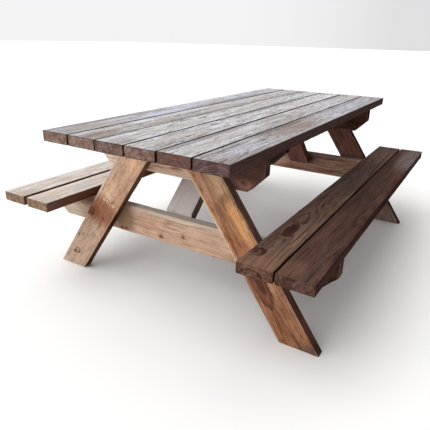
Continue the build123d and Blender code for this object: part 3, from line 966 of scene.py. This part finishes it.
BENCH_BOARDS = {
    "bench_right_inner_board": {
        **BENCH_RIGHT, "pith": (0.02, -0.04), "wave": 0.014, "contrast": 0.6, "spacing": 0.0085,
        "top_light": rgb(137, 112, 100), "streaks": 1.5, "fibres": 1.2, "scratches": 0.3,
        "figures": (
            (-0.67, 0.015, 0.085, 0.03, 2.6), (-0.9, 0.038, 0.04, 0.024, 1.8),
            (-0.3, -0.005, 0.14, 0.03, 2.2),
        ),
        "spots": (
            (-0.965, -0.01, 0.09, 0.1, (138, 104, 84), 0.6),
            (-0.8, -0.035, 0.14, 0.035, (124, 92, 74), 0.5),
            (-0.6, 0.045, 0.25, 0.03, (118, 90, 78), 0.5),
            (-0.67, 0.014, 0.1, 0.034, (132, 106, 90), 0.6, FIRM),
            (-0.67, 0.014, 0.085, 0.026, (50, 32, 27), 0.8, FIRM),
            (-0.668, 0.014, 0.07, 0.02, (82, 54, 45), 0.85, FIRM),
            (-0.66, 0.014, 0.04, 0.009, (66, 44, 38), 0.7, FIRM),
            (-0.73, -0.042, 0.1, 0.007, (150, 124, 104), 0.8, FIRM),
            (-0.69, -0.026, 0.11, 0.006, (148, 122, 102), 0.7, FIRM),
            (-0.72, -0.034, 0.1, 0.003, (50, 34, 29), 0.7, FIRM),
            (-0.9, 0.034, 0.036, 0.028, (54, 34, 29), 0.8, FIRM),
            (-0.908, 0.04, 0.024, 0.018, (112, 84, 70), 0.85, CRISP),
            (-0.903, 0.043, 0.009, 0.007, (58, 40, 35), 0.85, CRISP),
            (-0.25, -0.02, 0.3, 0.03, (96, 78, 66), 0.4),
            (0.2, 0.0, 0.5, 0.2, (70, 58, 56), 0.6),
            (0.9, 0.0, 0.2, 0.1, (96, 82, 78), 0.5),
        ),
    },
    "bench_right_outer_board": {
        **BENCH_RIGHT, "pith": (-0.05, -0.035), "wave": 0.012, "spacing": 0.006,
        "top_light": rgb(86, 65, 58), "top_dark": rgb(32, 23, 21), "top_sheen": rgb(83, 68, 64),
        "top_patch": rgb(63, 45, 40), "end_tone": (0.72, 0.76, 0.92, 1),
        "streaks": 1.8, "fibres": 1.5, "scratches": 0.25,
        "spots": (
            (-0.95, 0.03, 0.09, 0.05, (122, 90, 78), 0.6),
            (-0.6, 0.04, 0.3, 0.03, (96, 72, 63), 0.5),
            (0.0, 0.02, 0.42, 0.09, (63, 49, 46), 0.55),
            (0.45, 0.045, 0.4, 0.03, (66, 50, 47), 0.5),
            # A painted sheen: the grey sheen at the far end of the board
            (0.75, -0.03, 0.38, 0.07, (126, 114, 112), 0.75),
        ),
    },
    "bench_left_inner_board": {
        **BENCH_LEFT, "pith": (0.02, -0.05), "spots": (
            (-0.98, -0.02, 0.1, 0.08, (186, 176, 166), 0.6),
            (-0.88, 0.02, 0.12, 0.03, (218, 200, 176), 0.5),
            (-0.76, -0.01, 0.1, 0.03, (184, 188, 188), 0.75),
            (-0.56, -0.03, 0.09, 0.04, (196, 166, 146), 0.6),
        ),
    },
    "bench_left_outer_board": {
        **BENCH_LEFT, "pith": (-0.03, -0.06), "spots": (
            (-0.98, -0.03, 0.1, 0.05, (180, 170, 162), 0.6),
            (-0.5, -0.02, 0.3, 0.03, (208, 194, 184), 0.4),
        ),
    },
}

# Points along a healed scar that crosses the grain
SCAR = (
    (0.088, -0.018), (0.079, -0.006), (0.074, 0.008), (0.068, 0.022), (0.06, 0.034),
    (0.05, -0.02), (0.054, -0.004),
)

LEG_LEFT = {
    "light": rgb(220, 186, 160), "dark": rgb(104, 71, 54), "blotch_color": rgb(184, 146, 119),
    "pith": (0.01, 0.05), "right_shade_tone": (0.25, 0.19, 0.172, 1), "contrast": 0.25,
    "streaks": 1.3, "specks": 2.2, "fibres": 2.0, "scratches": 0.5, "mottle": 1.6,
    "knots": (
        (-0.064, -0.052, 0.017), (-0.241, -0.05, 0.0035), (-0.223, -0.033, 0.003),
        (-0.042, 0.022, 0.004), (0.07, 0.022, 0.004),
    ),
    "spots": (
        (-0.3, 0.0, 0.26, 0.16, (182, 158, 138), 0.75),
        (-0.45, 0.0, 0.06, 0.14, (180, 160, 144), 0.8),
        (0.12, 0.045, 0.16, 0.03, (172, 132, 104), 0.6),
        (-0.015, 0.0, 0.1, 0.13, (140, 92, 66), 0.9),
        (-0.05, -0.03, 0.05, 0.03, (122, 74, 56), 0.6),
        *((u, v, 0.008, 0.011, (236, 204, 168), 0.5, FIRM) for u, v in SCAR),
        (-0.333, -0.012, 0.022, 0.018, (92, 62, 48), 0.8, FIRM),
        (-0.331, -0.014, 0.013, 0.01, (190, 162, 142), 0.85, FIRM),
        (-0.354, -0.027, 0.012, 0.009, (84, 56, 44), 0.9, FIRM),
        (0.12, -0.02, 0.09, 0.03, (226, 190, 158), 0.5),
        # Painted light: the top of the leg lies in the shade of the tabletop, and these spots lighten it
        (0.32, 0.0, 0.09, 0.12, (242, 200, 166), 0.65),
        (0.32, 0.012, 0.045, 0.026, (255, 200, 168), 0.85),
        # A pale strip along the arris: worn wood and a painted highlight
        (0.22, -0.062, 0.24, 0.01, (224, 212, 198), 0.7),
    ),
}
LEG_RIGHT = {
    "light": rgb(198, 150, 118), "dark": rgb(66, 41, 31), "blotch_color": rgb(150, 102, 77),
    "pith": (-0.01, 0.05), "right_shade_tone": (0.35, 0.305, 0.345, 1), "wave": 0.006,
    "contrast": 0.65, "spacing": 0.0042, "mottle": 1.1,
    "streaks": 1.7, "specks": 1.8, "fibres": 2.4, "scratches": 0.7,
    "knots": ((-0.384, -0.042, 0.003),),
    "spots": (
        (-0.36, 0.0, 0.22, 0.2, (138, 90, 62), 0.6),
        (-0.24, 0.045, 0.16, 0.025, (158, 116, 90), 0.6),
        (-0.17, -0.056, 0.14, 0.014, (178, 122, 92), 0.7),
        (-0.15, -0.018, 0.116, 0.038, (66, 37, 29), 0.85, FIRM),
        (-0.146, -0.02, 0.1, 0.028, (134, 90, 71), 0.9, FIRM),
        (-0.138, -0.014, 0.064, 0.016, (74, 46, 39), 0.85, FIRM),
        # Painted shadow: a dark band just below the bench
        (-0.1, 0.0, 0.04, 0.1, (92, 60, 48), 0.5),
        (0.04, -0.02, 0.12, 0.04, (154, 98, 70), 0.7),
        (0.16, -0.02, 0.12, 0.03, (186, 134, 100), 0.7),
        (0.1, 0.036, 0.12, 0.036, (222, 166, 114), 0.8),
        (0.145, 0.02, 0.03, 0.02, (226, 158, 104), 0.6),
        (0.27, 0.02, 0.09, 0.06, (206, 170, 136), 0.85),
        (0.28, -0.02, 0.1, 0.04, (190, 142, 112), 0.6),
        (0.21, 0.03, 0.026, 0.04, (142, 106, 78), 0.7),
        # A pale strip along the arris: worn wood and a painted highlight
        (0.16, -0.063, 0.3, 0.007, (228, 200, 168), 0.9),
        (-0.455, 0.0, 0.045, 0.14, (106, 84, 72), 0.85),
    ),
}
# Painted shade: the rear legs are the same wood as the front ones, darkened for the shade under the
# tabletop
LEG_REAR = {
    "light": rgb(140, 104, 90), "dark": rgb(54, 34, 29), "blotch_color": rgb(134, 84, 68),
    "pith": (0.0, -0.05), "right_shade_tone": (0.16, 0.12, 0.11, 1), "streaks": 1.6,
    "spots": ((-0.42, 0.0, 0.1, 0.14, (152, 132, 122), 0.6),),
}
BEAM_FRONT = {
    "light": rgb(208, 178, 156), "dark": rgb(124, 92, 72), "blotch_color": rgb(186, 150, 126),
    # The top colours are near white: painted light on the top edge, which lies in the shade of the
    # tabletop
    "top_light": rgb(254, 248, 242), "top_dark": rgb(220, 213, 206), "top_share": 1.0,
    "top_patch": rgb(244, 236, 228), "pith": (0.02, 0.055), "contrast": 0.3,
    "streaks": 1.5, "specks": 1.2, "fibres": 1.5, "scratches": 0.5, "mottle": 1.0,
    "knots": ((0.061, -0.041, 0.006), (-0.059, -0.015, 0.005),
              (0.291, -0.055, 0.006), (0.266, -0.051, 0.005)),
    "spots": (
        # A pale strip along the arris: worn wood and a painted highlight
        (0.0, 0.06, 1.2, 0.014, (206, 192, 178), 0.7),
        # Painted shade beside the leg
        (0.27, 0.0, 0.08, 0.14, (116, 86, 68), 0.8),
        (0.14, 0.0, 0.08, 0.06, (184, 140, 112), 0.5),
        (-0.15, -0.03, 0.2, 0.02, (192, 152, 126), 0.4),
        (-0.33, -0.05, 0.08, 0.03, (158, 130, 110), 0.6),
        (0.64, -0.03, 0.14, 0.05, (222, 208, 192), 0.7),
        (0.52, 0.05, 0.16, 0.045, (92, 64, 50), 0.85),
        # Painted shadow: the beam's end under the bench
        (-0.72, 0.0, 0.14, 0.24, (40, 26, 21), 1.0),
    ),
}
# Darker than the front beam: a painted shade for the shade under the tabletop
BEAM_REAR = {
    "light": rgb(176, 146, 129), "dark": rgb(80, 56, 47), "blotch_color": rgb(158, 111, 91),
    "top_light": rgb(190, 176, 168), "top_dark": rgb(120, 108, 102), "pith": (0.02, 0.06),
    "wave": 0.014, "streaks": 1.6, "mottle": 1.2,
    "spots": (
        (0.13, 0.0, 0.09, 0.07, (196, 158, 138), 0.8),
        (-0.09, 0.03, 0.05, 0.045, (58, 36, 30), 0.9),
        (0.03, -0.05, 0.07, 0.018, (138, 78, 58), 0.6),
        (-0.22, 0.05, 0.2, 0.02, (104, 80, 70), 0.6),
        (-0.2, -0.04, 0.1, 0.015, (146, 86, 66), 0.5),
    ),
}
BATTEN_FRONT = {
    "light": rgb(246, 212, 188), "dark": rgb(126, 92, 72), "pith": (0.02, 0.055), "top_share": 0.0,
    "right_shade_tone": (0.16, 0.17, 0.2, 1), "contrast": 0.3, "streaks": 1.4, "mottle": 1.2, "arris": 0.15,
    "knots": ((-0.328, -0.034, 0.005), (-0.372, -0.034, 0.003)),
    "spots": (
        # Painted shadow of the tabletop on the batten's right end
        (-0.37, 0.0, 0.16, 0.24, (84, 60, 54), 1.0),
        (-0.36, 0.04, 0.12, 0.045, (64, 42, 36), 0.7),
        (-0.33, -0.046, 0.055, 0.026, (150, 108, 98), 0.8),
        (-0.335, -0.042, 0.032, 0.02, (164, 124, 113), 0.45, FIRM),
        (-0.331, -0.036, 0.02, 0.014, (86, 58, 52), 0.6, FIRM),
        (-0.327, -0.036, 0.012, 0.009, (132, 94, 84), 0.6, FIRM),
        # Painted shadows of the legs beside them
        (-0.2, -0.04, 0.05, 0.1, (50, 34, 28), 0.9),
        (0.19, 0.0, 0.05, 0.14, (54, 34, 26), 0.95),
        # A pale strip along the arris: worn wood and a painted highlight
        (0.0, -0.064, 0.22, 0.01, (214, 200, 184), 0.6),
        (0.38, 0.0, 0.12, 0.12, (236, 218, 196), 0.7),
    ),
}
# Darker than the front batten: a painted shade for the shade under the tabletop
BATTEN_REAR = {"light": rgb(102, 66, 55), "dark": rgb(46, 29, 23), "blotch_color": rgb(74, 46, 37)}
BRACE_FRONT = {
    "light": rgb(236, 226, 222), "dark": rgb(186, 174, 168),
    "top_light": rgb(232, 222, 220), "top_dark": rgb(182, 168, 164), "top_share": 1.0,
    "top_patch": rgb(222, 210, 206), "top_sheen": rgb(236, 232, 232),
    "right_shade_tone": (0.154, 0.1, 0.088, 1), "pith": (0.03, 0.06), "contrast": 0.1,
    "end_tone": (1.05, 1.08, 1.1, 1), "grime": (0.85, 0.84, 0.82, 1),
    "streaks": 0.8, "fibres": 1.0, "specks": 0.6, "scratches": 0.0, "mottle": 0.5,
}
BRACE_REAR = {
    "light": rgb(126, 90, 78), "dark": rgb(72, 44, 38), "under_shade_tone": (0.86, 0.82, 0.96, 1),
    "right_shade_tone": (0.38, 0.38, 0.44, 1), "streaks": 1.4,
}
CLEAT = {"light": rgb(86, 63, 57), "dark": rgb(44, 30, 26), "blotch_color": rgb(68, 49, 42)}

# -------------------- the table

make_camera()
make_floor()
make_light()

zinc = zinc_material()
for node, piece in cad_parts.items():
    if "screws" in node or "washers" in node:
        piece.data.materials.clear()
        piece.data.materials.append(zinc)

for number, own in TOP_BOARDS.items():
    node = f"top_board_{number}"
    make_board(lying_board(node), {**TOP, **own}, TOP_FACE, DRYING_CHECKS.get(node, ()))

for node, look in BENCH_BOARDS.items():
    make_board(lying_board(node), look, TOP_FACE, DRYING_CHECKS.get(node, ()))

for node, look in (
    ("leg_front_left", LEG_LEFT), ("leg_front_right", LEG_RIGHT),
    ("leg_rear_left", LEG_REAR), ("leg_rear_right", LEG_REAR),
):
    make_board(leg_board(node), look, FRONT_FACE)

for end, batten, beam in (("front", BATTEN_FRONT, BEAM_FRONT), ("rear", BATTEN_REAR, BEAM_REAR)):
    for part, look, slot, screws in (
        ("top_batten", batten, "frame_wood", "top_screws"),
        ("seat_beam", beam, "frame_wood", "bench_screws"),
        ("brace_cleat", CLEAT, "brace_wood", "cleat_screws"),
    ):
        node = f"{part}_{end}"
        holes = counterbores_below(f"{screws}_{end}", node)
        make_board(cross_member(node), look, FRONT_FACE, holes=holes)

for end, look in (("front", BRACE_FRONT), ("rear", BRACE_REAR)):
    holes = counterbores_at_foot(f"brace_screws_{end}")
    make_board(brace_board(f"brace_{end}"), look, FRONT_FACE, holes=holes)
